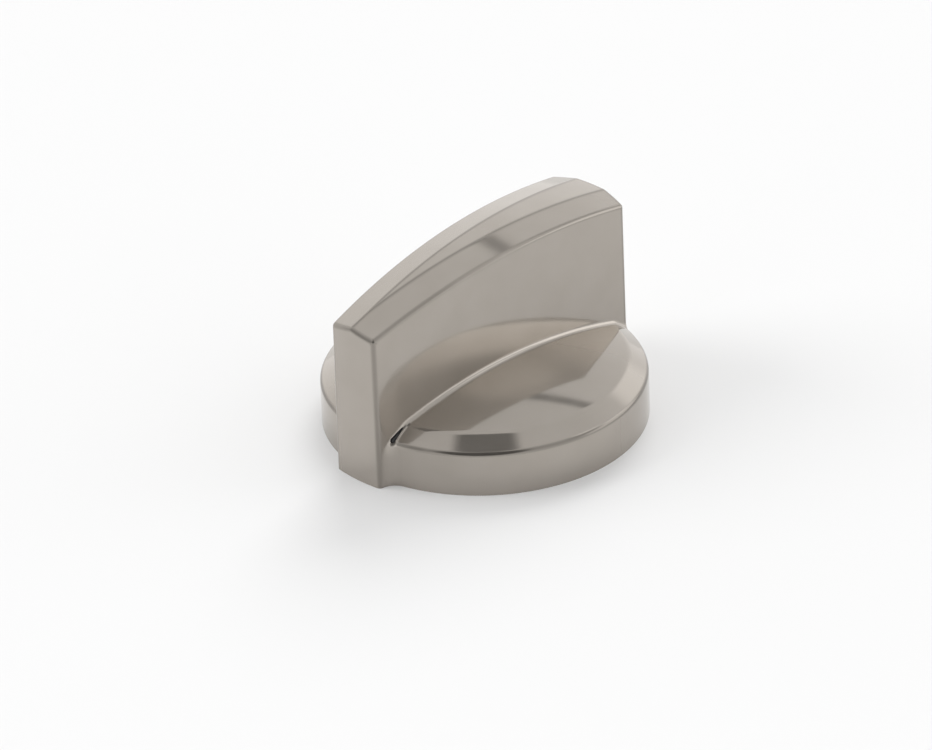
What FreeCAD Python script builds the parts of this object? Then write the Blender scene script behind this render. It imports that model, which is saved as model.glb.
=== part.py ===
# Oven control knob: die cast body, moulded shaft hub and retaining spring.
# The shaft axis is Z and +Z points out of the panel. The rim of the skirt lies on z = 0.
# The grip runs along Y and points to -Y. Sizes are millimetres, angles are degrees.
import FreeCAD, Part
import math
import os

# Skirt: drafted wall, chamfer and shallow dome, turned about the shaft axis
skirt_radius = 25.0
wall_height = 7.0
wall_draft = 0.75
chamfer_width = 2.83
chamfer_height = 2.0
dome_rise = 3.2
rim_round = 0.4

# Grip: a wedge in plan, narrow at the pointing end, under an arched top with two shallow chamfers
pointer_radius = 27.4
pointer_thickness = 9.07
far_thickness = 15.46
side_bow = 0.37
side_draft = 0.57
arch_radius = 107.0
arch_height = 30.85
arch_centre = 6.0
top_chamfer_width = 4.63
top_chamfer_drop = 1.03
edge_round = 0.35

# Casting: walls round the hollow underside, the boss that holds the hub and the ribs that brace it
skirt_wall = 2.2
dome_wall = 2.0
grip_wall = 2.0
grip_end_wall = 2.2
grip_roof = 2.2
boss_wall = 2.2
rib_thickness = 1.8
rib_recess = 2.5
core_radius = 3.6
core_roof = 3.0

# Hub: bush in the boss, with a round guide at its mouth and a D socket above it
shaft_radius = 3.0
shaft_flat = 1.55
shaft_clearance = 0.1
guide_clearance = 0.3
guide_length = 5.5
mouth_chamfer = 0.45
hub_radius = 5.0
hub_length = 16.8
hub_fit = 0.02
hub_end_gap = 0.2
hub_lead = 0.5
flange_thickness = 1.6
flange_overlap = 2.0
key_width = 2.0
key_height = 0.9
key_length = 9.0
key_fit = 0.05

# Spring: bowed leaf in a pocket behind the flat of the D socket
spring_width = 4.2
spring_gauge = 0.4
spring_press = 0.25
spring_side_gap = 0.15
spring_end_gap = 0.3
spring_ledge = 0.6
spring_pocket_depth = 1.25

# Modelling values: how far cutters run past what they cut, how near counts as touching,
# and where along an edge it is looked at
OVERRUN = 1.0
TOUCH = 0.02
SAMPLES = (0.2, 0.5, 0.8)
ORIGIN = FreeCAD.Vector(0, 0, 0)
UP = FreeCAD.Vector(0, 0, 1)
SIDES = (1, -1)

# Sizes that follow from the ones above
draft_slope = math.tan(math.radians(wall_draft))
side_slope = math.tan(math.radians(side_draft))
chamfer_slope = chamfer_height / chamfer_width
base_radius = skirt_radius + wall_height * draft_slope
shoulder_radius = skirt_radius - chamfer_width
shoulder_height = wall_height + chamfer_height
dome_top = shoulder_height + dome_rise
dome_sphere = (shoulder_radius ** 2 + dome_rise ** 2) / (2 * dome_rise)
dome_centre = dome_top - dome_sphere
guide_radius = shaft_radius + guide_clearance
bore_radius = shaft_radius + shaft_clearance
socket_flat = shaft_flat + shaft_clearance
guide_top = mouth_chamfer + guide_length
spring_foot = guide_top + spring_ledge
socket_radius = hub_radius + hub_fit
socket_top = hub_length + hub_end_gap
boss_radius = socket_radius + boss_wall
widest = max(pointer_thickness, far_thickness)
reach = pointer_radius + skirt_radius
stations = (-pointer_radius - OVERRUN, (skirt_radius - pointer_radius) / 2, base_radius + OVERRUN)


def point(x, y, z):
    return FreeCAD.Vector(x, y, z)


def line(start, end):
    return Part.makeLine(start, end)


def arc(points):
    return Part.Arc(*points).toShape()


def chain(points):
    """Straight edges from each point to the next."""
    return [line(start, end) for start, end in zip(points, points[1:])]


def cylinder(radius, low, high):
    return Part.makeCylinder(radius, high - low, point(0, 0, low))


def block(x_span, y_span, z_span):
    corner = point(x_span[0], y_span[0], z_span[0])
    return Part.makeBox(x_span[1] - x_span[0], y_span[1] - y_span[0], z_span[1] - z_span[0], corner)


def turned(corners):
    """Solid of revolution about the shaft axis. The outline lies on the pointer's side, which hides the seam."""
    outline = Part.Wire(chain(corners + corners[:1]))
    return Part.Face(outline).revolve(ORIGIN, UP, 360)


def profile_point(radius, height):
    return point(0, -radius, height)


def half_width(y, z):
    """Half thickness of the grip at a place along it and a height."""
    share = (y + pointer_radius) / (pointer_radius + skirt_radius)
    straight = (pointer_thickness + (far_thickness - pointer_thickness) * share) / 2
    return straight + 4 * side_bow * share * (1 - share) - side_slope * z


def arch_top(y):
    """Height of the arched top along the grip."""
    return arch_height - arch_radius + math.sqrt(arch_radius ** 2 - (y - arch_centre) ** 2)


def dome_height(radius, inset):
    """Height of the dome, or of the hollow under it, at a distance from the axis."""
    return dome_centre + math.sqrt((dome_sphere - inset) ** 2 - radius ** 2)


def ball(inset):
    """Sphere of the dome, or of the hollow under it. Its poles lie on X, away from the part."""
    return Part.makeSphere(dome_sphere - inset, point(0, 0, dome_centre), point(-1, 0, 0))


def drafted(radius, z):
    """Radius at a height of a round that has this radius on the base plane."""
    return radius - draft_slope * z


def drafted_round(radius, low, high):
    cone = Part.makeCone(drafted(radius, low), drafted(radius, high), high - low, point(0, 0, low))
    return cone.rotated(ORIGIN, UP, -90)


def slab(inset, low, high):
    """Wedge between the bowed and drafted sides of the grip, running past both ends."""
    outlines = []
    for z in (low, high):
        right = [point(half_width(y, z) - inset, y, z) for y in stations]
        left = [point(-place.x, place.y, place.z) for place in right]
        far_line = line(right[-1], left[-1])
        near_line = line(left[0], right[0])
        outlines.append(Part.Wire([arc(right), far_line, arc(left), near_line]))
    return Part.makeLoft(outlines, True, True)


def under_arch(drop):
    """Everything below the arched top, lowered by a drop."""
    tops = [point(-widest, y, arch_top(y) - drop) for y in stations]
    low_far = point(-widest, stations[-1], -OVERRUN)
    low_near = point(-widest, stations[0], -OVERRUN)
    sides = chain([tops[-1], low_far, low_near, tops[0]])
    return Part.Face(Part.Wire([arc(tops)] + sides)).extrude(point(2 * widest, 0, 0))


def top_chamfer(side):
    """Cutter for one shallow chamfer along the arched top."""
    slope = top_chamfer_drop / top_chamfer_width

    def edge_at(inward):
        places = []
        for y in stations:
            low_edge = arch_top(y) - top_chamfer_drop
            across = half_width(y, low_edge) - inward
            places.append(point(side * across, y, low_edge + slope * inward))
        return arc(places)

    face = Part.makeRuledSurface(edge_at(-OVERRUN), edge_at(top_chamfer_width + OVERRUN))
    return face.extrude(UP * arch_height)


def near_half(solid):
    return solid.common(block((-reach, reach), (-reach, 0), (-reach, reach)))


def far_half(solid):
    return solid.common(block((-reach, reach), (0, reach), (-reach, reach)))


def skirt_cap():
    """Chamfer and dome of the skirt, running past the wall."""
    outside = skirt_radius + OVERRUN
    outer_edge = profile_point(outside, wall_height - OVERRUN * chamfer_slope)
    inner_edge = profile_point(skirt_radius - dome_top / chamfer_slope, wall_height + dome_top)
    above = profile_point(0, wall_height + dome_top)
    return turned([ORIGIN, profile_point(outside, 0), outer_edge, inner_edge, above]).common(ball(0))


def grip_wedge():
    """Grip with its arched and chamfered top, running past both ends."""
    wedge = slab(0, 0, arch_height).common(under_arch(0))
    for side in SIDES:
        wedge = wedge.cut(top_chamfer(side))
    return wedge


def on_side(place):
    return abs(abs(place.x) - half_width(place.y, place.z)) < TOUCH


def on_end(place):
    base = pointer_radius if place.y < 0 else base_radius
    return abs(math.hypot(place.x, place.y) - drafted(base, place.z)) < TOUCH


def on_rim(place):
    return abs(math.hypot(place.x, place.y) - skirt_radius) < TOUCH and abs(place.z - wall_height) < TOUCH


def edge_radius(edge):
    """Rounding of an edge of the outer form, or none for the valley, the base and the soft lines."""
    span = edge.LastParameter - edge.FirstParameter
    places = [edge.valueAt(edge.FirstParameter + share * span) for share in SAMPLES]
    if all(on_rim(place) for place in places):
        return rim_round
    beside = all(on_side(place) for place in places)
    at_end = all(on_end(place) for place in places)
    above = all(place.z > dome_top for place in places)
    if (beside and at_end) or (above and (beside or at_end)):
        return edge_round
    return None


def rounded(solid):
    """Round the outer edges of the form in one step, each with its own radius."""
    document = FreeCAD.newDocument("knob")
    base = document.addObject("Part::Feature", "base")
    base.Shape = solid
    fillet = document.addObject("Part::Fillet", "fillet")
    fillet.Base = base
    radii = [(number, edge_radius(edge)) for number, edge in enumerate(solid.Edges, 1)]
    fillet.Edges = [(number, radius, radius) for number, radius in radii if radius]
    document.recompute()
    return fillet.Shape.Solids[0]


def outer_form():
    """Skirt and grip as one solid. The far end of the grip and the wall of the skirt share one drafted round."""
    pointer = near_half(slab(0, 0, arch_height)).common(drafted_round(pointer_radius, 0, arch_height))
    envelope = drafted_round(base_radius, 0, arch_height).fuse(pointer)
    whole = skirt_cap().fuse(grip_wedge()).removeSplitter()
    return rounded(whole.common(envelope).removeSplitter().Solids[0])


def skirt_hollow():
    """Space under the dome, inside the drafted wall."""
    return drafted_round(base_radius - skirt_wall, -OVERRUN, dome_top).common(ball(dome_wall))


def grip_hollow():
    """Space inside the grip, open downward."""
    wedge = slab(grip_wall, -OVERRUN, arch_height).common(under_arch(top_chamfer_drop + grip_roof))
    near = near_half(wedge).common(drafted_round(pointer_radius - grip_end_wall, -OVERRUN, arch_height))
    far = far_half(wedge).common(drafted_round(base_radius - grip_end_wall, -OVERRUN, arch_height))
    return near.fuse(far).removeSplitter()


def ribs():
    """Two ribs under the dome, one each side of the boss."""
    along = (-skirt_radius, skirt_radius)
    return block(along, (-rib_thickness / 2, rib_thickness / 2), (rib_recess, arch_height))


def key(side, growth):
    """Key of the hub, or the slot for it when grown by its clearance."""
    tip = side * (hub_radius + key_height + growth)
    half = key_width / 2 + growth
    top = flange_thickness + key_length + growth
    return block(sorted((0, tip)), (-half, half), (flange_thickness, top))


def knob_body():
    boss = cylinder(boss_radius, flange_thickness, arch_height)
    hollow = skirt_hollow().fuse(grip_hollow()).cut(boss).cut(ribs())
    body = outer_form().cut(hollow)
    body = body.cut(cylinder(socket_radius, flange_thickness, socket_top))
    body = body.cut(cylinder(core_radius, flange_thickness, arch_top(0) - core_roof))
    for side in SIDES:
        body = body.cut(key(side, key_fit))
    return body.removeSplitter().Solids[0]


def shaft_hub():
    barrel = cylinder(hub_radius, 0, hub_length)
    top_edges = [edge for edge in barrel.Edges if edge.BoundBox.ZMin > hub_length - TOUCH]
    hub = barrel.makeChamfer(hub_lead, top_edges)
    hub = hub.fuse(cylinder(hub_radius + flange_overlap, 0, flange_thickness))
    for side in SIDES:
        hub = hub.fuse(key(side, 0))
    hub = hub.removeSplitter()
    mouth = Part.makeCone(guide_radius + mouth_chamfer, guide_radius, mouth_chamfer)
    bore = cylinder(bore_radius, guide_top, hub_length)
    d_socket = bore.common(block((-hub_radius, hub_radius), (-hub_radius, socket_flat), (0, hub_length)))
    half = spring_width / 2 + spring_side_gap
    pocket = block((-half, half), (0, socket_flat + spring_pocket_depth), (spring_foot, hub_length))
    for cutter in (mouth, cylinder(guide_radius, mouth_chamfer, guide_top), d_socket, pocket):
        hub = hub.cut(cutter)
    return hub.Solids[0]


def shaft_spring():
    """Leaf that bows from the back of its pocket to just past the flat of the socket."""
    low = spring_foot
    high = hub_length - spring_end_gap
    back = socket_flat + spring_pocket_depth
    front = socket_flat - spring_press
    edge = -spring_width / 2

    def bow(end, middle):
        return [point(edge, end, low), point(edge, middle, (low + high) / 2), point(edge, end, high)]

    rear = bow(back, front + spring_gauge)
    face = bow(back - spring_gauge, front)
    ends = [line(rear[0], face[0]), line(rear[-1], face[-1])]
    outline = Part.Wire(Part.sortEdges([arc(rear), arc(face)] + ends)[0])
    return Part.Face(outline).extrude(point(spring_width, 0, 0))


if __name__ == "__main__":
    os.makedirs("parts", exist_ok=True)
    pieces = {"knob_body": knob_body(), "shaft_hub": shaft_hub(), "shaft_spring": shaft_spring()}
    for name, shape in pieces.items():
        shape.exportStep(f"parts/{name}.step")
        print(name, shape.isValid(), len(shape.Solids), round(shape.Volume, 1), "mm3")
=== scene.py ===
import math

import bmesh
import bpy
import numpy as np
from mathutils import Matrix, Vector


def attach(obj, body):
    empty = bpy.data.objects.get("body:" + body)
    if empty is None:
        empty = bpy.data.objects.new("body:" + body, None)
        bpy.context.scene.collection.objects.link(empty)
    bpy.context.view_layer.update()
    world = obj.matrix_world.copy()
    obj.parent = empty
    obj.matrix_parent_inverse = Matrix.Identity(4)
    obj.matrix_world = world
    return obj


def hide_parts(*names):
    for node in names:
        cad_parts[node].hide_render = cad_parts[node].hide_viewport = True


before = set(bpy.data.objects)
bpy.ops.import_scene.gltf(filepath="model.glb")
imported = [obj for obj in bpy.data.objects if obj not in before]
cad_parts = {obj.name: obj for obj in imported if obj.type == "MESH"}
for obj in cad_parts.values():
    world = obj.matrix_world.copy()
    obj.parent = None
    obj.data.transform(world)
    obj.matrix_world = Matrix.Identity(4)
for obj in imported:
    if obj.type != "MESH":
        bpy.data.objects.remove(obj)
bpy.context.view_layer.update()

# The casting is worked out in millimetres and scaled to metres as it becomes a mesh.
MM = 0.001

# Skirt: drafted wall, chamfer and shallow dome
SKIRT_RADIUS = 25.0
WALL_HEIGHT = 7.0
WALL_DRAFT = 0.75
CHAMFER_WIDTH = 2.83
CHAMFER_HEIGHT = 2.0
DOME_RISE = 3.2
RIM_ROUND = 0.4

# Grip: wedge in plan with bowed, drafted sides under an arched and chamfered top
POINTER_RADIUS = 27.4
POINTER_THICKNESS = 9.07
FAR_THICKNESS = 15.46
SIDE_BOW = 0.37
SIDE_DRAFT = 0.57
ARCH_RADIUS = 107.0
ARCH_HEIGHT = 30.85
ARCH_CENTRE = 6.0
TOP_CHAMFER_WIDTH = 4.63
TOP_CHAMFER_DROP = 1.03
EDGE_ROUND = 0.5

# Fillet at the foot of the grip: on the dome, beside the wall, and the heights between which it widens
VALLEY_ROUND = 0.7
WALL_VALLEY_ROUND = 1.8
VALLEY_WIDENS = (8.6, 4.6)

# Slit at the foot of the pointer: radii at the rim and the shoulder, start along the chamfer, depth and taper
SLIT_RADII = (0.54, 0.2)
SLIT_START = 0.12
SLIT_DEPTH = 1.0
SLIT_TAPER = 0.5

# Rows of points on each of the balls that the slit is stretched over
BALL_ROWS = 12

# How far the polishing has softened the lines that stay crisp on the solid
RIDGE_SOFTNESS = 0.06
SHOULDER_SOFTNESS = 0.15
CREASE_SOFTNESS = 0.05

# Underside: hollow, boss for the hub, ribs
SKIRT_WALL = 2.2
DOME_WALL = 2.0
GRIP_WALL = 2.0
GRIP_END_WALL = 2.2
GRIP_ROOF = 2.2
BOSS_RADIUS = 7.22
BOSS_FOOT = 1.6
RIB_THICKNESS = 1.8
RIB_RECESS = 2.5
SOCKET_RADIUS = 5.02
SOCKET_TOP = 17.0
CORE_RADIUS = 3.6
CORE_ROOF = 3.0
SLOT_HALF_WIDTH = 1.05
SLOT_REACH = 5.95
SLOT_TOP = 10.65

# Mesh: distances of its fine rows from an edge, a valley, a soft line and the wide valley, and plain spacings
EDGE_STEPS = (0, 0.08, 0.17, 0.27, 0.38, 0.5, 0.62, 0.85)
VALLEY_STEPS = (0, 0.12, 0.25, 0.38, 0.52, 0.67, 0.85, 1.15)
SOFT_STEPS = (0, 0.05, 0.12, 0.25, 0.5)
LONG_STEPS = (0, 0.05, 0.12, 0.25, 0.4, 0.6, 0.8, 1.05, 1.35, 1.7, 2.2)
PLAIN_STEP = 0.9
SHORT_STEP = 0.4

# Cutters: segments of a round, rows of the dome and of the core of the grip, and how far they run past a face
ROUND_SEGMENTS = 128
DOME_ROWS = 24
CORE_ROWS = 80
OVERRUN = 1.0

# Corners of a square, in order
SQUARE = (-1, -1), (1, -1), (1, 1), (-1, 1)

# Settling onto the surface: steps, distance over which a slope is taken, and the least slope squared
SETTLING_STEPS = 10
SLOPE_STEP = 1e-4
LEAST_SLOPE = 0.05

# What counts as one point, as on the mirror plane or base, as no distance, and as on the outer surface
JOINED = 0.0008
ON_PLANE = 1e-9
NO_DISTANCE = 1e-12
ON_SURFACE = 0.01

# Edges sharper than this stay crisp
SHARP_ANGLE = math.radians(30)

# Painted shade lines on edges, ridges and rim, dark lines that hold down the highlights there: the layer that
# holds them, half widths and darkness
SHADE_LAYER = "painted_edge_shade"
EDGE_LINE = 0.62
EDGE_SHADE = 0.5
RIDGE_LINE = 0.4
RIDGE_SHADE = 0.65
RIM_LINE = 0.42
RIM_SHADE = 0.75

# Distances from the grip between which the painted shade line on the rim comes up
RIM_FADE = (0.8, 4.0)

# Camera, in degrees, millimetres and pixels of the photograph
CAMERA_AZIMUTH = 45.643
CAMERA_ELEVATION = 29.988
CAMERA_ROLL = -2.209
CAMERA_DISTANCE = 562.87
CAMERA_AIM = (9.0023, -12.7194, 15.0)
FOCAL_PIXELS = 3816.4
IMAGE_WIDTH = 932
SENSOR_WIDTH = 36.0

# Finishes: colours and roughness from low to high, and sizes of clouds, patches and grain in millimetres
NOISE_LOW = 0.3
NOISE_HIGH = 0.7
CLOUD_SIZE = 6.0
NICKEL_METAL = 0.7
NICKEL_DARK = (0.405, 0.370, 0.330)
NICKEL_LIGHT = (0.425, 0.390, 0.350)
# Colour of the shade painted on the edges, ridges and rim of the nickel
NICKEL_EDGE_SHADE = (0.15, 0.135, 0.118)
NICKEL_ROUGHNESS = (0.06, 0.09)
NICKEL_PATCH = 2.0
NICKEL_GRAIN = 0.12
NICKEL_GRAIN_DEPTH = 0.0004
ZINC_DARK = (0.30, 0.30, 0.31)
ZINC_LIGHT = (0.40, 0.40, 0.40)
ZINC_ROUGHNESS = (0.38, 0.52)
ZINC_PATCH = 1.5
ZINC_GRAIN = 0.35
ZINC_GRAIN_DEPTH = 0.02
NYLON_DARK = (0.028, 0.028, 0.030)
NYLON_LIGHT = (0.045, 0.045, 0.047)
NYLON_ROUGHNESS = (0.42, 0.58)
NYLON_PATCH = 1.2
NYLON_GRAIN = 0.15
NYLON_GRAIN_DEPTH = 0.01
STEEL_DARK = (0.38, 0.38, 0.39)
STEEL_LIGHT = (0.47, 0.47, 0.48)
STEEL_ROUGHNESS = (0.22, 0.34)
STEEL_LINE = 0.05
STEEL_LINE_STRETCH = 30
STEEL_LINE_DEPTH = 0.001

# Floor: half its side in millimetres, its colour, and the share of white glow added where it is seen
FLOOR_REACH = 3000.0
FLOOR_COLOUR = (0.75, 0.75, 0.75)
FLOOR_GLOW = 0.2
SEEN_RAYS = ("Is Camera Ray", "Is Glossy Ray", "Is Transmission Ray")

# Studio: light at the horizon and the zenith, and the height of a direction that has the zenith's light
HORIZON_LIGHT = 1.2
ZENITH_LIGHT = 0.8
SKY_TOP = 0.9

# Soft zones: azimuth from the camera, elevation, angles at which the zone is whole and gone, and its light
STUDIO_ZONES = (
    (94, 10, 12, 32, 2.1),
    (74, 31, 5, 17, 0.8),
    (85, 43, 5, 13, 1.6),
    (-75, 20, 15, 38, 0.5),
    (-4, 32, 20, 34, 0.08),
    (-2, 78, 9, 15, 0.08),
    (136.5, 25.5, 6, 18, 1.4),
)

# Dark strip: azimuth and elevation of its ends, angles off it where whole and gone, fade of its ends, light
STRIP_ENDS = (173, 51.0), (154, 48.3)
STRIP_WIDTH = (0.5, 1.9)
STRIP_TAPER = 2.0
STRIP_LIGHT = 0.2

# Lamps: name, azimuth from the camera, elevation and light, and the angle over which each is spread
LAMPS = (
    ("lamp_behind", 165, 40, 1.5),
    ("lamp_left", -95, 32, 1.3),
)
LAMP_SPREAD = 36

# Sizes that follow from the ones above
draft_slope = math.tan(math.radians(WALL_DRAFT))
side_slope = math.tan(math.radians(SIDE_DRAFT))
chamfer_slope = CHAMFER_HEIGHT / CHAMFER_WIDTH
top_slope = TOP_CHAMFER_DROP / TOP_CHAMFER_WIDTH
base_radius = SKIRT_RADIUS + WALL_HEIGHT * draft_slope
shoulder_radius = SKIRT_RADIUS - CHAMFER_WIDTH
shoulder_height = WALL_HEIGHT + CHAMFER_HEIGHT
dome_top = shoulder_height + DOME_RISE
dome_sphere = (shoulder_radius ** 2 + DOME_RISE ** 2) / (2 * DOME_RISE)
dome_centre = dome_top - dome_sphere


def half_width(y, z):
    """Half thickness of the grip at a place along it and a height."""
    share = (y + POINTER_RADIUS) / (POINTER_RADIUS + SKIRT_RADIUS)
    straight = (POINTER_THICKNESS + (FAR_THICKNESS - POINTER_THICKNESS) * share) / 2
    return straight + 4 * SIDE_BOW * share * (1 - share) - side_slope * z


def arch_top(y):
    """Height of the arched top at a place along the grip."""
    return ARCH_HEIGHT - ARCH_RADIUS + np.sqrt(ARCH_RADIUS ** 2 - (y - ARCH_CENTRE) ** 2)


def edge_height(y):
    """Height of the edge between the side of the grip and its top chamfer."""
    return arch_top(y) - TOP_CHAMFER_DROP


def drafted(radius, z):
    """Radius of a drafted wall at a height, from its radius at the base."""
    return radius - draft_slope * z


def cap_height(radius):
    """Height of the dome and chamfer at a distance from the axis."""
    dome = dome_centre + np.sqrt(dome_sphere ** 2 - radius ** 2)
    return np.minimum(dome, shoulder_height + (shoulder_radius - radius) * chamfer_slope)


def edge_share(radius, first, second):
    """Share of an edge rounding: 1 in the middle of the round and 0 on the faces beside it."""
    first, second = np.maximum(first + radius, 0), np.maximum(second + radius, 0)
    return 2 * first * second / np.maximum(first ** 2 + second ** 2, NO_DISTANCE)


def convex(radius, *distances):
    """Distance to the part common to several forms, with its outer edges rounded."""
    outside = sum(np.maximum(distance + radius, 0) ** 2 for distance in distances)
    return np.minimum(np.maximum.reduce(distances), -radius) + np.sqrt(outside)


def concave(radius, first, second):
    """Distance to two forms joined, with a fillet where they meet."""
    inside = np.hypot(np.maximum(radius - first, 0), np.maximum(radius - second, 0))
    return np.maximum(np.minimum(first, second), radius) - inside


def softened(width, first, second):
    """Distance to the part common to two forms that meet at a shallow line, with that line softened."""
    near = np.maximum(width - np.abs(first - second), 0) / width
    return np.maximum(first, second) + near ** 2 * width / 4


def valley_radius(z):
    """Fillet at the foot of the grip: fine on the dome, wide beside the wall under the rim."""
    fine, wide = VALLEY_WIDENS
    share = np.clip((z - wide) / (fine - wide), 0, 1)
    return WALL_VALLEY_ROUND + (VALLEY_ROUND - WALL_VALLEY_ROUND) * share ** 2 * (3 - 2 * share)


def faces_of_form(places):
    """Distances from the side, top and round tip of the grip, and from the cap and wall of the skirt."""
    x, y, z = np.moveaxis(places, -1, 0)
    radius = np.hypot(x, y)
    side = np.abs(x) - half_width(y, z)
    arch = np.hypot(y - ARCH_CENTRE, z - ARCH_HEIGHT + ARCH_RADIUS) - ARCH_RADIUS
    low_edge = edge_height(y)
    inward = half_width(y, low_edge) - np.hypot(x, CREASE_SOFTNESS)
    top_chamfer = (z - low_edge - top_slope * inward) * math.cos(math.atan(top_slope))
    top = softened(RIDGE_SOFTNESS, arch, top_chamfer)
    chamfer = z - shoulder_height + (radius - shoulder_radius) * chamfer_slope
    dome = np.hypot(radius, z - dome_centre) - dome_sphere
    cap = softened(SHOULDER_SOFTNESS, chamfer * math.cos(math.atan(chamfer_slope)), dome)
    wall = radius - drafted(base_radius, z)
    tip = radius - drafted(POINTER_RADIUS, z)
    return side, top, tip, cap, wall


def shell(places):
    """Distance from the outer surface of the casting, negative inside."""
    side, top, tip, cap, wall = faces_of_form(places)
    y, z = places[..., 1], places[..., 2]
    pointing = concave(valley_radius(z), convex(EDGE_ROUND, side, top, tip), convex(RIM_ROUND, cap, wall))
    far = convex(RIM_ROUND, concave(VALLEY_ROUND, convex(EDGE_ROUND, side, top), cap), wall)
    return np.where(y < 0, pointing, far)


def ridge_share(places):
    """How near points on the top of the grip are to one of its ridges, from 0 to 1."""
    x, y = np.abs(places[..., 0]), places[..., 1]
    ridge = np.maximum(half_width(y, edge_height(y)) - TOP_CHAMFER_WIDTH, 0)
    return np.clip(1 - np.abs(x - ridge) / RIDGE_LINE, 0, 1)


def painted_shade_on_edges(places):
    """How dark the painted shade on edges, ridges and rim is at points on the outer surface, from 0 to 1."""
    side, top, tip, cap, wall = faces_of_form(places)
    pointing = places[..., 1] < 0
    end = np.where(pointing, tip, wall)
    pairs = (side, top), (side, end), (top, end)
    grip = np.maximum.reduce([edge_share(EDGE_LINE, *pair) for pair in pairs]) * EDGE_SHADE
    on_grip = (side < ON_SURFACE) & (pointing | (cap > 0))
    ridges = ridge_share(places) * RIDGE_SHADE
    grip = np.where(np.abs(top) < ON_SURFACE, np.maximum(grip, ridges), grip)
    clear_of_grip = np.clip((side - RIM_FADE[0]) / (RIM_FADE[1] - RIM_FADE[0]), 0, 1)
    return np.where(on_grip, grip, edge_share(RIM_LINE, cap, wall) * clear_of_grip * RIM_SHADE)


def slope_of_shell(places):
    """Gradient of the distance, which points straight out of the surface."""
    gradient = np.empty_like(places)
    for axis in range(3):
        nudge = np.zeros(3)
        nudge[axis] = SLOPE_STEP
        gradient[..., axis] = (shell(places + nudge) - shell(places - nudge)) / (2 * SLOPE_STEP)
    return gradient


def settled(places):
    """Places moved onto the outer surface."""
    for _ in range(SETTLING_STEPS):
        gradient = slope_of_shell(places)
        steepness = np.maximum((gradient ** 2).sum(-1), LEAST_SLOPE)
        places = places - gradient * (shell(places) / steepness)[..., None]
    return places


def spread(length, first, last, step):
    """Shares of a length: fine steps at both ends and an even spacing between."""
    first = np.array(first)
    last = length - np.array(last)[::-1]
    count = max(2, math.ceil((last[0] - first[-1]) / step) + 1)
    return np.concatenate([first[:-1], np.linspace(first[-1], last[0], count), last[1:]]) / length


def side_meets(radius, z, end):
    """Where along the grip its side meets a round; end is -1 at the pointer and 1 at the far end."""
    y = end * radius
    for _ in range(SETTLING_STEPS):
        y = end * np.sqrt(radius ** 2 - half_width(y, z) ** 2)
    return y


def top_corner(radius, end):
    """Upper end of an upright edge of the grip, where it meets a drafted round."""
    y, z = end * radius, ARCH_HEIGHT
    for _ in range(SETTLING_STEPS):
        z = edge_height(y)
        y = side_meets(drafted(radius, z), z, end)
    return y


def on_side(y, z):
    """Points on the side of the grip."""
    return np.stack([half_width(y, z), y, z], -1)


def on_cap(x, y):
    """Points on the dome or the chamfer."""
    return np.stack([x, y, cap_height(np.hypot(x, y))], -1)


def between(start, end, shares):
    """Points on straight lines; the shares run along a new axis before the last one."""
    return start[..., None, :] + shares[:, None] * (end - start)[..., None, :]


def rim_point(radius, z, end):
    """Place where the side of the grip meets a round of the skirt."""
    y = side_meets(radius, z, end)
    return np.array([half_width(y, z), y, z])


# Corners of the patches on the +X side, at the pointer and at the far end
near_rim, far_rim = rim_point(SKIRT_RADIUS, WALL_HEIGHT, -1), rim_point(SKIRT_RADIUS, WALL_HEIGHT, 1)
near_shoulder = rim_point(shoulder_radius, shoulder_height, -1)
far_shoulder = rim_point(shoulder_radius, shoulder_height, 1)
tip_foot = side_meets(drafted(POINTER_RADIUS, WALL_HEIGHT), WALL_HEIGHT, -1)

# Shares at which the rows and columns of the patches lie
tip_shares = spread(near_rim[1] - tip_foot, EDGE_STEPS, VALLEY_STEPS, SHORT_STEP)
slope_shares = spread(math.hypot(CHAMFER_WIDTH, CHAMFER_HEIGHT), EDGE_STEPS, SOFT_STEPS, SHORT_STEP)
dome_shares = spread(far_shoulder[1] - near_shoulder[1], LONG_STEPS, SOFT_STEPS, PLAIN_STEP)
side_shares = spread(ARCH_HEIGHT - dome_top, EDGE_STEPS, VALLEY_STEPS, PLAIN_STEP)
lens_shares = spread(shoulder_radius - near_rim[0], VALLEY_STEPS, SOFT_STEPS, PLAIN_STEP)
wall_shares = spread(WALL_HEIGHT, EDGE_STEPS, SOFT_STEPS, PLAIN_STEP)
bevel_shares = spread(TOP_CHAMFER_WIDTH, EDGE_STEPS, SOFT_STEPS, SHORT_STEP)
flat_shares = spread(TOP_CHAMFER_WIDTH, SOFT_STEPS, SOFT_STEPS, PLAIN_STEP)

# Lines that several patches share: over the chamfer at both ends of the side, and rows and start of the wall
near_slope = between(near_rim, near_shoulder, slope_shares)
far_slope = between(far_shoulder, far_rim, 1 - slope_shares[::-1])
wall_z = WALL_HEIGHT * (1 - wall_shares)
wall_start = side_meets(drafted(base_radius, wall_z), wall_z, -1)


def pointer_foot():
    """Level line across the side of the pointer, at the height of the rim."""
    y = tip_foot + tip_shares * (near_rim[1] - tip_foot)
    line = on_side(y, np.full_like(y, WALL_HEIGHT))
    line[-1] = near_rim
    return line


def dome_foot():
    """Line where the side of the grip meets the dome."""
    y = near_shoulder[1] + dome_shares * (far_shoulder[1] - near_shoulder[1])
    z = np.full_like(y, dome_top)
    for _ in range(SETTLING_STEPS):
        z = cap_height(np.hypot(half_width(y, z), y))
    line = on_side(y, z)
    line[0], line[-1] = near_shoulder, far_shoulder
    return line


def top_edge(shares):
    """Line between the side of the grip and its top, at shares of its length."""
    near, far = top_corner(POINTER_RADIUS, -1), top_corner(base_radius, 1)
    y = near + shares * (far - near)
    return on_side(y, edge_height(y))


def side_patch(edge, foot):
    """Side of the grip, from its top edge down to the foot."""
    side = np.swapaxes(between(edge, foot, side_shares), 0, 1)
    side[..., 0] = half_width(side[..., 1], side[..., 2])
    side[0], side[-1] = edge, foot
    return side


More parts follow.
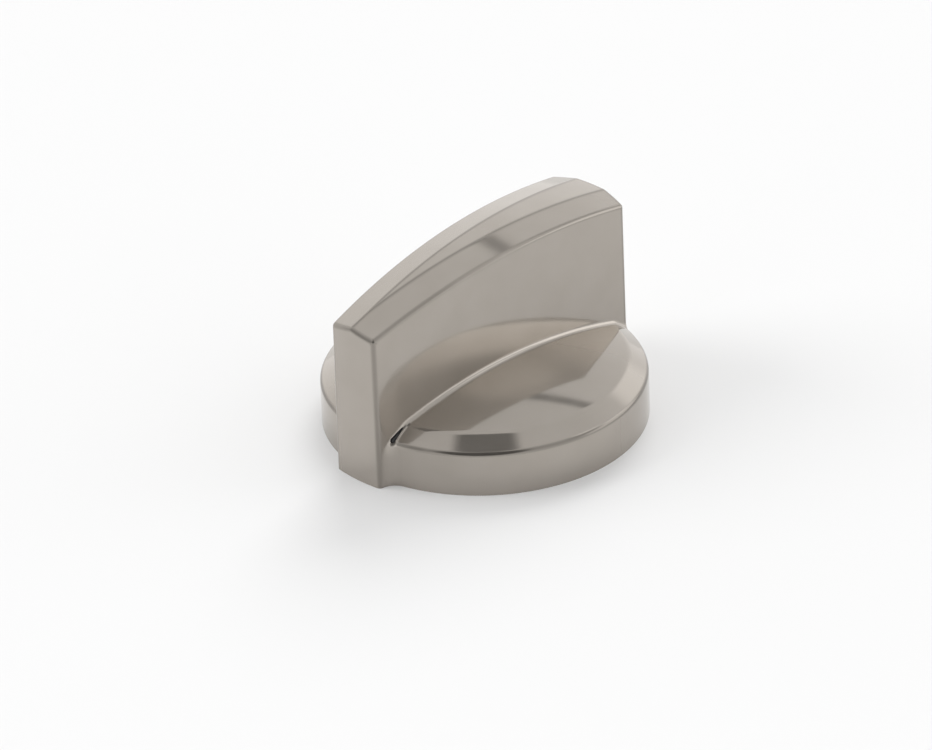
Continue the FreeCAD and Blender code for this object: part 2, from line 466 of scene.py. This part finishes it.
def leg_patch(level):
    """Side of the pointer below the rim, beside the wall."""
    near = side_meets(drafted(POINTER_RADIUS, wall_z), wall_z, -1)
    y = near[:, None] + tip_shares * (wall_start - near)[:, None]
    leg = on_side(y, np.broadcast_to(wall_z[:, None], y.shape))
    leg[0] = level
    return leg


def bulge(radius, corner, x):
    """How far the round end of the grip stands out beyond its corner, at places across the grip."""
    limit = drafted(radius, corner[2])
    return np.sqrt(limit ** 2 - x ** 2) - math.sqrt(limit ** 2 - corner[0] ** 2)


def top_patch(edge, shares):
    """Top of the grip, from its side edge to the middle."""
    ridge = np.maximum(edge[:, 0] - TOP_CHAMFER_WIDTH, SHORT_STEP)
    bevel_x = edge[:, :1] + (ridge - edge[:, 0])[:, None] * bevel_shares
    flat_x = ridge[:, None] * (1 - flat_shares[1:])
    x = np.concatenate([bevel_x, flat_x], 1)
    near, far = bulge(POINTER_RADIUS, edge[0], x[0]), bulge(base_radius, edge[-1], x[-1])
    y = edge[:, 1:2] - (1 - shares)[:, None] * near + shares[:, None] * far
    low_edge = edge_height(y)
    z = np.minimum(arch_top(y), low_edge + top_slope * (half_width(y, low_edge) - x))
    top = np.stack([x, y, z], -1)
    top[:, 0] = edge
    return top


def end_face(upright, shares, crown, radius, end):
    """Round end of the grip, from an upright edge to the middle; rows at share 1 go on down with the edge."""
    x = upright[:, :1] * (crown[:, 0] / crown[0, 0])
    drop = shares[:, None]
    below_rim = (upright[:, 2] - WALL_HEIGHT)[:, None] * (drop == 1)
    z = crown[:, 2] + drop * (WALL_HEIGHT - crown[:, 2]) + below_rim
    limit = drafted(radius, z)
    out = np.sqrt(limit ** 2 - x ** 2) - np.sqrt(limit ** 2 - upright[:, :1] ** 2)
    face = np.stack([x, upright[:, 1:2] + end * out, z], -1)
    face[0], face[:, 0] = crown, upright
    return face


def skirt_turns(start, end):
    """Angles round the skirt from one place to another."""
    first, last = math.atan2(start[1], start[0]), math.atan2(end[1], end[0])
    return first + dome_shares * (last - first)


def cap_line(radius, start, end):
    """Line round the cap at a distance from the axis, between two places on the side of the grip."""
    turn = skirt_turns(start, end)
    line = on_cap(radius * np.cos(turn), radius * np.sin(turn))
    line[0], line[-1] = start, end
    return line


def cap_patches(crest):
    """Chamfer and dome of the skirt, out from the foot of the side."""
    shoulder = cap_line(shoulder_radius, near_shoulder, far_shoulder)
    rim = cap_line(SKIRT_RADIUS, near_rim, far_rim)
    slope = between(shoulder, rim, 1 - slope_shares[::-1])
    slope[0], slope[-1] = near_slope[::-1], far_slope
    slope[:, 0], slope[:, -1] = shoulder, rim
    lens = between(crest, shoulder, lens_shares)
    lens = on_cap(lens[..., 0], lens[..., 1])
    lens[:, 0], lens[:, -1] = crest, shoulder
    return slope, lens


def wall_patch(leg, rim, far_face):
    """Wall of the skirt, from beside the pointer round to the middle of the far end."""
    last_turn = skirt_turns(near_rim, far_rim)[-1]
    first_turn = np.arctan2(wall_start, half_width(wall_start, wall_z))
    turn = first_turn[:, None] + dome_shares * (last_turn - first_turn)[:, None]
    limit = drafted(base_radius, wall_z)[:, None]
    far_x = limit * math.cos(last_turn) * (far_face[-1, 1:, 0] / far_face[-1, 0, 0])
    x = np.concatenate([limit * np.cos(turn), far_x], 1)
    y = np.concatenate([limit * np.sin(turn), np.sqrt(limit ** 2 - far_x ** 2)], 1)
    wall = np.stack([x, y, np.broadcast_to(wall_z[:, None], x.shape)], -1)
    wall[:, 0] = leg[:, -1]
    wall[0] = np.concatenate([rim, far_face[-1, 1:]])
    return wall


def half_patches():
    """Grids of points that cover the outer surface on the +X side, before they are settled onto it."""
    level, crest = pointer_foot(), dome_foot()
    foot = np.concatenate([level, near_slope[1:], crest[1:], far_slope[1:]])
    shares = (foot[:, 1] - foot[0, 1]) / (foot[-1, 1] - foot[0, 1])
    edge = top_edge(shares)
    side, leg, top = side_patch(edge, foot), leg_patch(level), top_patch(edge, shares)
    tip_upright = np.concatenate([side[:, 0], leg[1:, 0]])
    tip_rows = np.concatenate([side_shares, np.ones(len(leg) - 1)])
    tip_face = end_face(tip_upright, tip_rows, top[0], POINTER_RADIUS, -1)
    far_face = end_face(side[:, -1], side_shares, top[-1], base_radius, 1)
    slope, lens = cap_patches(crest)
    wall = wall_patch(leg, slope[:, -1], far_face)
    return [side, leg, top, tip_face, far_face, slope, lens, wall]


def outer_surface():
    """Points and faces of the whole outer surface, open at the base, in millimetres."""
    points, faces = [], []
    for guess in half_patches():
        patch = settled(guess)
        patch[..., 0] = np.where(guess[..., 0] < ON_PLANE, 0, patch[..., 0])
        patch[..., 2] = np.where(guess[..., 2] < ON_PLANE, 0, patch[..., 2])
        rows, columns = patch.shape[:2]
        for mirror in (1, -1):
            first = sum(len(group) for group in points)
            points.append((patch * (mirror, 1, 1)).reshape(-1, 3))
            number = first + np.arange(rows * columns).reshape(rows, columns)
            quads = np.stack([number[:-1, :-1], number[1:, :-1], number[1:, 1:], number[:-1, 1:]], -1)
            faces.extend(quads.reshape(-1, 4).tolist())
    return np.concatenate(points), faces


def join_close(working):
    """Join points that lie closer than JOINED, and drop the slivers that are left."""
    bmesh.ops.remove_doubles(working, verts=working.verts, dist=JOINED * MM)
    bmesh.ops.dissolve_degenerate(working, edges=working.edges, dist=JOINED / 2 * MM)


def placed(name, working, mesh):
    """Object in the scene from a mesh that was worked on, with its normals facing out."""
    bmesh.ops.recalc_face_normals(working, faces=working.faces)
    working.to_mesh(mesh)
    working.free()
    thing = bpy.data.objects.new(name, mesh)
    bpy.context.collection.objects.link(thing)
    return thing


def mesh_object(name, points, faces, closed=True):
    """Object from points in millimetres, with doubled points joined, a closed one filled, and normals out."""
    mesh = bpy.data.meshes.new(name)
    mesh.from_pydata((np.asarray(points) * MM).tolist(), [], faces)
    working = bmesh.new()
    working.from_mesh(mesh)
    join_close(working)
    bmesh.ops.triangulate(working, faces=working.faces)
    open_edges = [edge for edge in working.edges if edge.is_boundary]
    if closed and open_edges:
        bmesh.ops.edgeloop_fill(working, edges=open_edges)
    return placed(name, working, mesh)


def lathe(name, profile):
    """Solid turned about the shaft axis from (radius, height) points that start and end on the axis."""
    points, faces = [], []
    for step in range(ROUND_SEGMENTS):
        turn = 2 * math.pi * step / ROUND_SEGMENTS
        points += [(radius * math.cos(turn), radius * math.sin(turn), height) for radius, height in profile]
    rows = len(profile)
    for step in range(ROUND_SEGMENTS):
        here, there = step * rows, (step + 1) % ROUND_SEGMENTS * rows
        faces += [(here + row, there + row, there + row + 1, here + row + 1) for row in range(rows - 1)]
    return mesh_object(name, points, faces)


def cylinder(name, radius, low, high):
    """Round solid about the shaft axis, between two heights."""
    return lathe(name, [(0, low), (radius, low), (radius, high), (0, high)])


def block(name, x_half, y_half, low, high):
    """Box about the shaft axis, between two heights."""
    corners = [(x * x_half, y * y_half, z) for z in (low, high) for x, y in SQUARE]
    upright = [(n, (n + 1) % 4, (n + 1) % 4 + 4, n + 4) for n in range(4)]
    return mesh_object(name, corners, [(0, 1, 2, 3), (4, 5, 6, 7)] + upright)


def hull(name, balls):
    """Solid stretched over balls given as centre and radius."""
    points = []
    for centre, radius in balls:
        for rise in np.linspace(-math.pi / 2, math.pi / 2, BALL_ROWS):
            for turn in np.linspace(0, 2 * math.pi, 2 * BALL_ROWS, endpoint=False):
                level = math.cos(rise)
                out = Vector((math.cos(turn) * level, math.sin(turn) * level, math.sin(rise)))
                points.append(Vector(centre) + radius * out)
    working = bmesh.new()
    corners = [working.verts.new(point * MM) for point in points]
    made = bmesh.ops.convex_hull(working, input=corners)
    left_over = made["geom_interior"] + made["geom_unused"]
    unused = {part for part in left_over if isinstance(part, bmesh.types.BMVert)}
    bmesh.ops.delete(working, geom=list(unused), context="VERTS")
    bmesh.ops.remove_doubles(working, verts=working.verts, dist=JOINED * MM)
    return placed(name, working, bpy.data.meshes.new(name))


def slit(side):
    """Blade shaped space along the foot of the pointer, from the rim to the shoulder; side is 1 or -1."""
    inward = np.array([-1, -near_rim[1] / SKIRT_RADIUS, -1])
    inward /= np.linalg.norm(inward)
    balls = []
    for share, radius in zip((SLIT_START, 1), SLIT_RADII):
        mouth = near_rim + share * (near_shoulder - near_rim)
        for depth, width in ((0, radius), (SLIT_DEPTH, radius * SLIT_TAPER)):
            balls.append(((mouth + depth * inward) * (side, 1, 1), width))
    return hull("slit", balls)


def skirt_hollow():
    """Space under the dome, inside the drafted wall."""
    inside = base_radius - SKIRT_WALL
    corner = WALL_HEIGHT
    for _ in range(SETTLING_STEPS):
        corner = inner_dome(drafted(inside, corner))
    roof = [(radius, inner_dome(radius)) for radius in np.linspace(drafted(inside, corner), 0, DOME_ROWS)]
    return lathe("skirt_hollow", [(0, -OVERRUN), (drafted(inside, -OVERRUN), -OVERRUN)] + roof)


def inner_dome(radius):
    """Height of the inside of the dome at a distance from the axis."""
    return dome_centre + math.sqrt((dome_sphere - DOME_WALL) ** 2 - radius ** 2)


def grip_hollow():
    """Space inside the grip: pairs of points along it, once on the open bottom and once on the roof."""
    low, high = [], []
    for share in np.sin(np.linspace(-1, 1, CORE_ROWS) * math.pi / 2):
        y = share * (POINTER_RADIUS if share < 0 else base_radius)
        roof = edge_height(y) - GRIP_ROOF
        for z, row in ((-OVERRUN, low), (roof, high)):
            limit = drafted(POINTER_RADIUS if share < 0 else base_radius, z) - GRIP_END_WALL
            place = share * limit
            across = min(half_width(place, z) - GRIP_WALL, math.sqrt(max(limit ** 2 - place ** 2, 0)))
            row.append((across, place, z))
    points = [(side * x, y, z) for row in (low, high) for side in (1, -1) for x, y, z in row]
    count = len(low)
    strips = [(0, count), (count, 3 * count), (3 * count, 2 * count), (2 * count, 0)]
    faces = [(a + n, a + n + 1, b + n + 1, b + n) for a, b in strips for n in range(count - 1)]
    return mesh_object("grip_hollow", points, faces)


def carve(target, cutter, operation="DIFFERENCE"):
    """Cut one solid with another, or join them, and use the cutter up."""
    change = target.modifiers.new("carve", "BOOLEAN")
    change.operation = operation
    change.solver = "MANIFOLD"
    change.object = cutter
    bpy.context.view_layer.update()
    carved = bpy.data.meshes.new_from_object(target.evaluated_get(bpy.context.evaluated_depsgraph_get()))
    target.modifiers.clear()
    target.data = carved
    bpy.data.objects.remove(cutter)


def clean(thing):
    """Join the close points that cutting has left in the mesh of an object."""
    working = bmesh.new()
    working.from_mesh(thing.data)
    join_close(working)
    working.to_mesh(thing.data)
    working.free()


def knob_casting():
    """Outer form with the hollow underside, hub socket and slits cut into it, around the boss and ribs."""
    casting = mesh_object("knob_casting", *outer_surface())
    hollow = skirt_hollow()
    carve(hollow, grip_hollow(), "UNION")
    carve(hollow, cylinder("boss", BOSS_RADIUS, BOSS_FOOT, ARCH_HEIGHT + OVERRUN))
    rib = block("rib", SKIRT_RADIUS, RIB_THICKNESS / 2, RIB_RECESS, ARCH_HEIGHT + OVERRUN)
    carve(hollow, rib)
    carve(casting, hollow)
    carve(casting, cylinder("socket", SOCKET_RADIUS, BOSS_FOOT - OVERRUN, SOCKET_TOP))
    carve(casting, cylinder("core", CORE_RADIUS, BOSS_FOOT - OVERRUN, arch_top(0) - CORE_ROOF))
    carve(casting, block("key_slot", SLOT_REACH, SLOT_HALF_WIDTH, BOSS_FOOT - OVERRUN, SLOT_TOP))
    carve(casting, slit(1))
    carve(casting, slit(-1))
    clean(casting)
    return casting


def mesh_points(mesh):
    """Points of a mesh in millimetres, and which of them lie on the outer surface."""
    places = np.empty(len(mesh.vertices) * 3)
    mesh.vertices.foreach_get("co", places)
    places = places.reshape(-1, 3) / MM
    return places, np.abs(shell(places)) < ON_SURFACE


def shade(casting):
    """Smooth shading, with the true normals of the form on the outer surface."""
    mesh = casting.data
    mesh.polygons.foreach_set("use_smooth", [True] * len(mesh.polygons))
    mesh.set_sharp_from_angle(angle=SHARP_ANGLE)
    places, outside = mesh_points(mesh)
    outward = slope_of_shell(places)
    outward /= np.linalg.norm(outward, axis=1, keepdims=True)
    corners = np.empty(len(mesh.loops), int)
    mesh.loops.foreach_get("vertex_index", corners)
    sizes = np.empty(len(mesh.polygons), int)
    mesh.polygons.foreach_get("loop_total", sizes)
    facing = np.empty(len(mesh.polygons) * 3)
    mesh.polygons.foreach_get("normal", facing)
    facing = np.repeat(facing.reshape(-1, 3), sizes, axis=0)
    normals = outward[corners]
    agree = outside[corners] & ((normals * facing).sum(1) > math.cos(SHARP_ANGLE))
    mesh.normals_split_custom_set(np.where(agree[:, None], normals, 0).tolist())


def material(name):
    """New material with its node tree and shader."""
    made = bpy.data.materials.new(name)
    made.use_nodes = True
    return made, made.node_tree, made.node_tree.nodes["Principled BSDF"]


def noise(tree, size, detail=2.0, stretch=(1, 1, 1)):
    """Noise fixed to the object, with grains of about this size in millimetres, drawn out by stretch."""
    place = tree.nodes.new("ShaderNodeTexCoord")
    grid = tree.nodes.new("ShaderNodeMapping")
    grid.inputs["Scale"].default_value = [1 / (size * MM * length) for length in stretch]
    grain = tree.nodes.new("ShaderNodeTexNoise")
    grain.inputs["Scale"].default_value = 1
    grain.inputs["Detail"].default_value = detail
    tree.links.new(place.outputs["Object"], grid.inputs["Vector"])
    tree.links.new(grid.outputs["Vector"], grain.inputs["Vector"])
    return grain.outputs["Fac"]


def mapped(tree, value, start, end, low, high, way="LINEAR"):
    """Change from low to high while a value goes from start to end."""
    scale = tree.nodes.new("ShaderNodeMapRange")
    scale.interpolation_type = way
    scale.inputs["From Min"].default_value = start
    scale.inputs["From Max"].default_value = end
    scale.inputs["To Min"].default_value = low
    scale.inputs["To Max"].default_value = high
    tree.links.new(value, scale.inputs["Value"])
    return scale.outputs["Result"]


def between_values(tree, factor, low, high):
    """A value that follows a noise from low to high."""
    return mapped(tree, factor, NOISE_LOW, NOISE_HIGH, low, high)


def between_colours(tree, factor, low, high):
    """A colour that follows a noise from low to high."""
    ramp = tree.nodes.new("ShaderNodeValToRGB")
    for stop, place, colour in zip(ramp.color_ramp.elements, (NOISE_LOW, NOISE_HIGH), (low, high)):
        stop.position = place
        stop.color = (*colour, 1)
    tree.links.new(factor, ramp.inputs["Fac"])
    return ramp.outputs["Color"]


def roughen(tree, surface, height, depth):
    """Bump from a noise, with a depth in millimetres."""
    bump = tree.nodes.new("ShaderNodeBump")
    bump.inputs["Distance"].default_value = depth * MM
    tree.links.new(height, bump.inputs["Height"])
    tree.links.new(bump.outputs["Normal"], surface.inputs["Normal"])


def satin_nickel():
    """Plated outside of the casting: warm grey metal with a fine grain, faint clouding and shade painted dark
    on its edges.
    """
    made, tree, surface = material("satin_nickel")
    surface.inputs["Metallic"].default_value = NICKEL_METAL
    colour = between_colours(tree, noise(tree, CLOUD_SIZE), NICKEL_DARK, NICKEL_LIGHT)
    # Painted shade: the edge layer mixes a dark colour into the nickel along edges, ridges and rim
    edge = tree.nodes.new("ShaderNodeAttribute")
    edge.attribute_name = SHADE_LAYER
    edge_shading = tree.nodes.new("ShaderNodeMixRGB")
    edge_shading.inputs["Color2"].default_value = (*NICKEL_EDGE_SHADE, 1)
    tree.links.new(edge.outputs["Fac"], edge_shading.inputs["Fac"])
    tree.links.new(colour, edge_shading.inputs["Color1"])
    tree.links.new(edge_shading.outputs["Color"], surface.inputs["Base Color"])
    gloss = between_values(tree, noise(tree, NICKEL_PATCH, detail=4), *NICKEL_ROUGHNESS)
    tree.links.new(gloss, surface.inputs["Roughness"])
    roughen(tree, surface, noise(tree, NICKEL_GRAIN), NICKEL_GRAIN_DEPTH)
    return made


def cast_zinc():
    """Inside of the casting, as it left the die: duller and coarser than the plated outside."""
    made, tree, surface = material("cast_zinc")
    surface.inputs["Metallic"].default_value = 1
    colour = between_colours(tree, noise(tree, CLOUD_SIZE, detail=5), ZINC_DARK, ZINC_LIGHT)
    tree.links.new(colour, surface.inputs["Base Color"])
    gloss = between_values(tree, noise(tree, ZINC_PATCH, detail=4), *ZINC_ROUGHNESS)
    tree.links.new(gloss, surface.inputs["Roughness"])
    roughen(tree, surface, noise(tree, ZINC_GRAIN, detail=3), ZINC_GRAIN_DEPTH)
    return made


def hub_nylon():
    """Black moulded nylon with a matt eroded texture."""
    made, tree, surface = material("hub_nylon")
    colour = between_colours(tree, noise(tree, CLOUD_SIZE, detail=4), NYLON_DARK, NYLON_LIGHT)
    tree.links.new(colour, surface.inputs["Base Color"])
    gloss = between_values(tree, noise(tree, NYLON_PATCH, detail=3), *NYLON_ROUGHNESS)
    tree.links.new(gloss, surface.inputs["Roughness"])
    roughen(tree, surface, noise(tree, NYLON_GRAIN, detail=3), NYLON_GRAIN_DEPTH)
    return made


def spring_steel():
    """Rolled strip with fine lines along its length, which is upright here."""
    made, tree, surface = material("spring_steel")
    surface.inputs["Metallic"].default_value = 1
    lines = noise(tree, STEEL_LINE, stretch=(1, 1, STEEL_LINE_STRETCH))
    tree.links.new(between_colours(tree, lines, STEEL_DARK, STEEL_LIGHT), surface.inputs["Base Color"])
    tree.links.new(between_values(tree, lines, *STEEL_ROUGHNESS), surface.inputs["Roughness"])
    roughen(tree, surface, lines, STEEL_LINE_DEPTH)
    return made


def dress(casting):
    """Plating on the outer surface with painted shade along its edges, the bare cast surface inside."""
    casting.data.materials.clear()
    casting.data.materials.append(satin_nickel())
    casting.data.materials.append(cast_zinc())
    places, outside = mesh_points(casting.data)
    # Layer of painted shade along the edges, ridges and rim of the outer surface
    edges = casting.data.attributes.new(SHADE_LAYER, "FLOAT", "POINT")
    edges.data.foreach_set("value", painted_shade_on_edges(places) * outside)
    for face in casting.data.polygons:
        face.material_index = 0 if outside[list(face.vertices)].all() else 1


def toward(azimuth, elevation):
    """Direction out from the object; azimuth 0 is -Y and 90 is +X."""
    turn, rise = math.radians(azimuth), math.radians(elevation)
    return Vector((math.sin(turn) * math.cos(rise), -math.cos(turn) * math.cos(rise), math.sin(rise)))


def add_camera():
    """Camera of the photograph: its place, roll and focal length come from edges seen in the picture."""
    back, right = toward(CAMERA_AZIMUTH, CAMERA_ELEVATION), toward(CAMERA_AZIMUTH + 90, 0)
    up = back.cross(right)
    roll = math.radians(CAMERA_ROLL)
    tilted_right = right * math.cos(roll) + up * math.sin(roll)
    tilted_up = up * math.cos(roll) - right * math.sin(roll)
    place = (Vector(CAMERA_AIM) + back * CAMERA_DISTANCE) * MM
    camera = bpy.data.objects.new("camera", bpy.data.cameras.new("camera"))
    camera.matrix_world = Matrix((tilted_right, tilted_up, back)).transposed().to_4x4()
    camera.location = place
    camera.data.sensor_width = SENSOR_WIDTH
    camera.data.lens = FOCAL_PIXELS / IMAGE_WIDTH * SENSOR_WIDTH
    bpy.context.collection.objects.link(camera)
    bpy.context.scene.camera = camera


def seen_glow(tree):
    """Share of the floor's glow: FLOOR_GLOW for rays that show the floor, 0 for those that only light."""
    path = tree.nodes.new("ShaderNodeLightPath")
    total = None
    for ray in SEEN_RAYS:
        share = tree.nodes.new("ShaderNodeMath")
        share.operation = "MULTIPLY_ADD"
        share.inputs[1].default_value = FLOOR_GLOW
        share.inputs[2].default_value = 0
        tree.links.new(path.outputs[ray], share.inputs[0])
        if total:
            tree.links.new(total, share.inputs[2])
        total = share.outputs["Value"]
    return total


def add_floor():
    """Wide white floor that takes the shadow of the knob."""
    corners = [(x * FLOOR_REACH, y * FLOOR_REACH, 0) for x, y in SQUARE]
    floor = mesh_object("floor", corners, [(0, 1, 2, 3)], closed=False)
    made, tree, surface = material("floor_white")
    surface.inputs["Base Color"].default_value = (*FLOOR_COLOUR, 1)
    surface.inputs["Roughness"].default_value = 1
    surface.inputs["Specular IOR Level"].default_value = 0
    glow = tree.nodes.new("ShaderNodeEmission")
    blend = tree.nodes.new("ShaderNodeMixShader")
    tree.links.new(seen_glow(tree), blend.inputs["Fac"])
    tree.links.new(surface.outputs["BSDF"], blend.inputs[1])
    tree.links.new(glow.outputs["Emission"], blend.inputs[2])
    tree.links.new(blend.outputs["Shader"], tree.nodes["Material Output"].inputs["Surface"])
    floor.data.materials.append(made)


def add_lamps():
    """Broad soft light from behind and from the left, kept out of the reflections."""
    for name, azimuth, elevation, light in LAMPS:
        lamp = bpy.data.objects.new(name, bpy.data.lights.new(name, "SUN"))
        lamp.data.energy = light
        lamp.data.angle = math.radians(LAMP_SPREAD)
        lamp.rotation_euler = toward(CAMERA_AZIMUTH + azimuth, elevation).to_track_quat("Z", "Y").to_euler()
        lamp.visible_glossy = False
        bpy.context.collection.objects.link(lamp)


def eased(tree, value, start, end, low, high):
    """Smooth change from low to high while a value goes from start to end."""
    return mapped(tree, value, start, end, low, high, "SMOOTHSTEP")


def cosine_to(tree, direction, axis):
    """Cosine of the angle between a direction and an axis."""
    aim = tree.nodes.new("ShaderNodeVectorMath")
    aim.operation = "DOT_PRODUCT"
    aim.inputs[1].default_value = axis
    tree.links.new(direction, aim.inputs[0])
    return aim.outputs["Value"]


def zone(tree, direction, axis, inner, outer):
    """Share of a round zone: 1 within the inner angle from its axis and 0 beyond the outer one."""
    edges = math.cos(math.radians(outer)), math.cos(math.radians(inner))
    return eased(tree, cosine_to(tree, direction, axis), *edges, 0, 1)


def strip(tree, direction):
    """Share of a thin straight strip between two places."""
    ends = [toward(CAMERA_AZIMUTH + azimuth, elevation) for azimuth, elevation in STRIP_ENDS]
    off = tree.nodes.new("ShaderNodeMath")
    off.operation = "ABSOLUTE"
    tree.links.new(cosine_to(tree, direction, ends[0].cross(ends[1]).normalized()), off.inputs[0])
    inner, outer = (math.sin(math.radians(width)) for width in STRIP_WIDTH)
    across = eased(tree, off.outputs["Value"], inner, outer, 1, 0)
    half, middle = math.degrees(ends[0].angle(ends[1])) / 2, (ends[0] + ends[1]).normalized()
    whole = tree.nodes.new("ShaderNodeMath")
    whole.operation = "MULTIPLY"
    tree.links.new(across, whole.inputs[0])
    tree.links.new(zone(tree, direction, middle, half, half + STRIP_TAPER), whole.inputs[1])
    return whole.outputs["Value"]


def blended(tree, share, light, level):
    """Light that goes over to a level where the share is 1."""
    blend = tree.nodes.new("ShaderNodeMix")
    blend.inputs["B"].default_value = level
    tree.links.new(share, blend.inputs["Factor"])
    tree.links.new(light, blend.inputs["A"])
    return blend.outputs["Result"]


def add_world():
    """Soft studio: light all round, brightest on the right, with dark openings in front and overhead."""
    world = bpy.data.worlds.new("studio")
    world.use_nodes = True
    bpy.context.scene.world = world
    tree = world.node_tree
    place = tree.nodes.new("ShaderNodeTexCoord")
    height = tree.nodes.new("ShaderNodeSeparateXYZ")
    direction = place.outputs["Generated"]
    tree.links.new(direction, height.inputs["Vector"])
    light = eased(tree, height.outputs["Z"], 0, SKY_TOP, HORIZON_LIGHT, ZENITH_LIGHT)
    for azimuth, elevation, inner, outer, level in STUDIO_ZONES:
        share = zone(tree, direction, toward(CAMERA_AZIMUTH + azimuth, elevation), inner, outer)
        light = blended(tree, share, light, level)
    light = blended(tree, strip(tree, direction), light, STRIP_LIGHT)
    backdrop = tree.nodes["Background"]
    backdrop.inputs["Color"].default_value = (1, 1, 1, 1)
    tree.links.new(light, backdrop.inputs["Strength"])


bpy.context.scene.view_settings.view_transform = "Standard"
casting = knob_casting()
shade(casting)
dress(casting)
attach(casting, "root")
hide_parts("knob_body")
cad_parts["shaft_hub"].data.materials[0] = hub_nylon()
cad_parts["shaft_spring"].data.materials[0] = spring_steel()
add_camera()
add_floor()
add_lamps()
add_world()
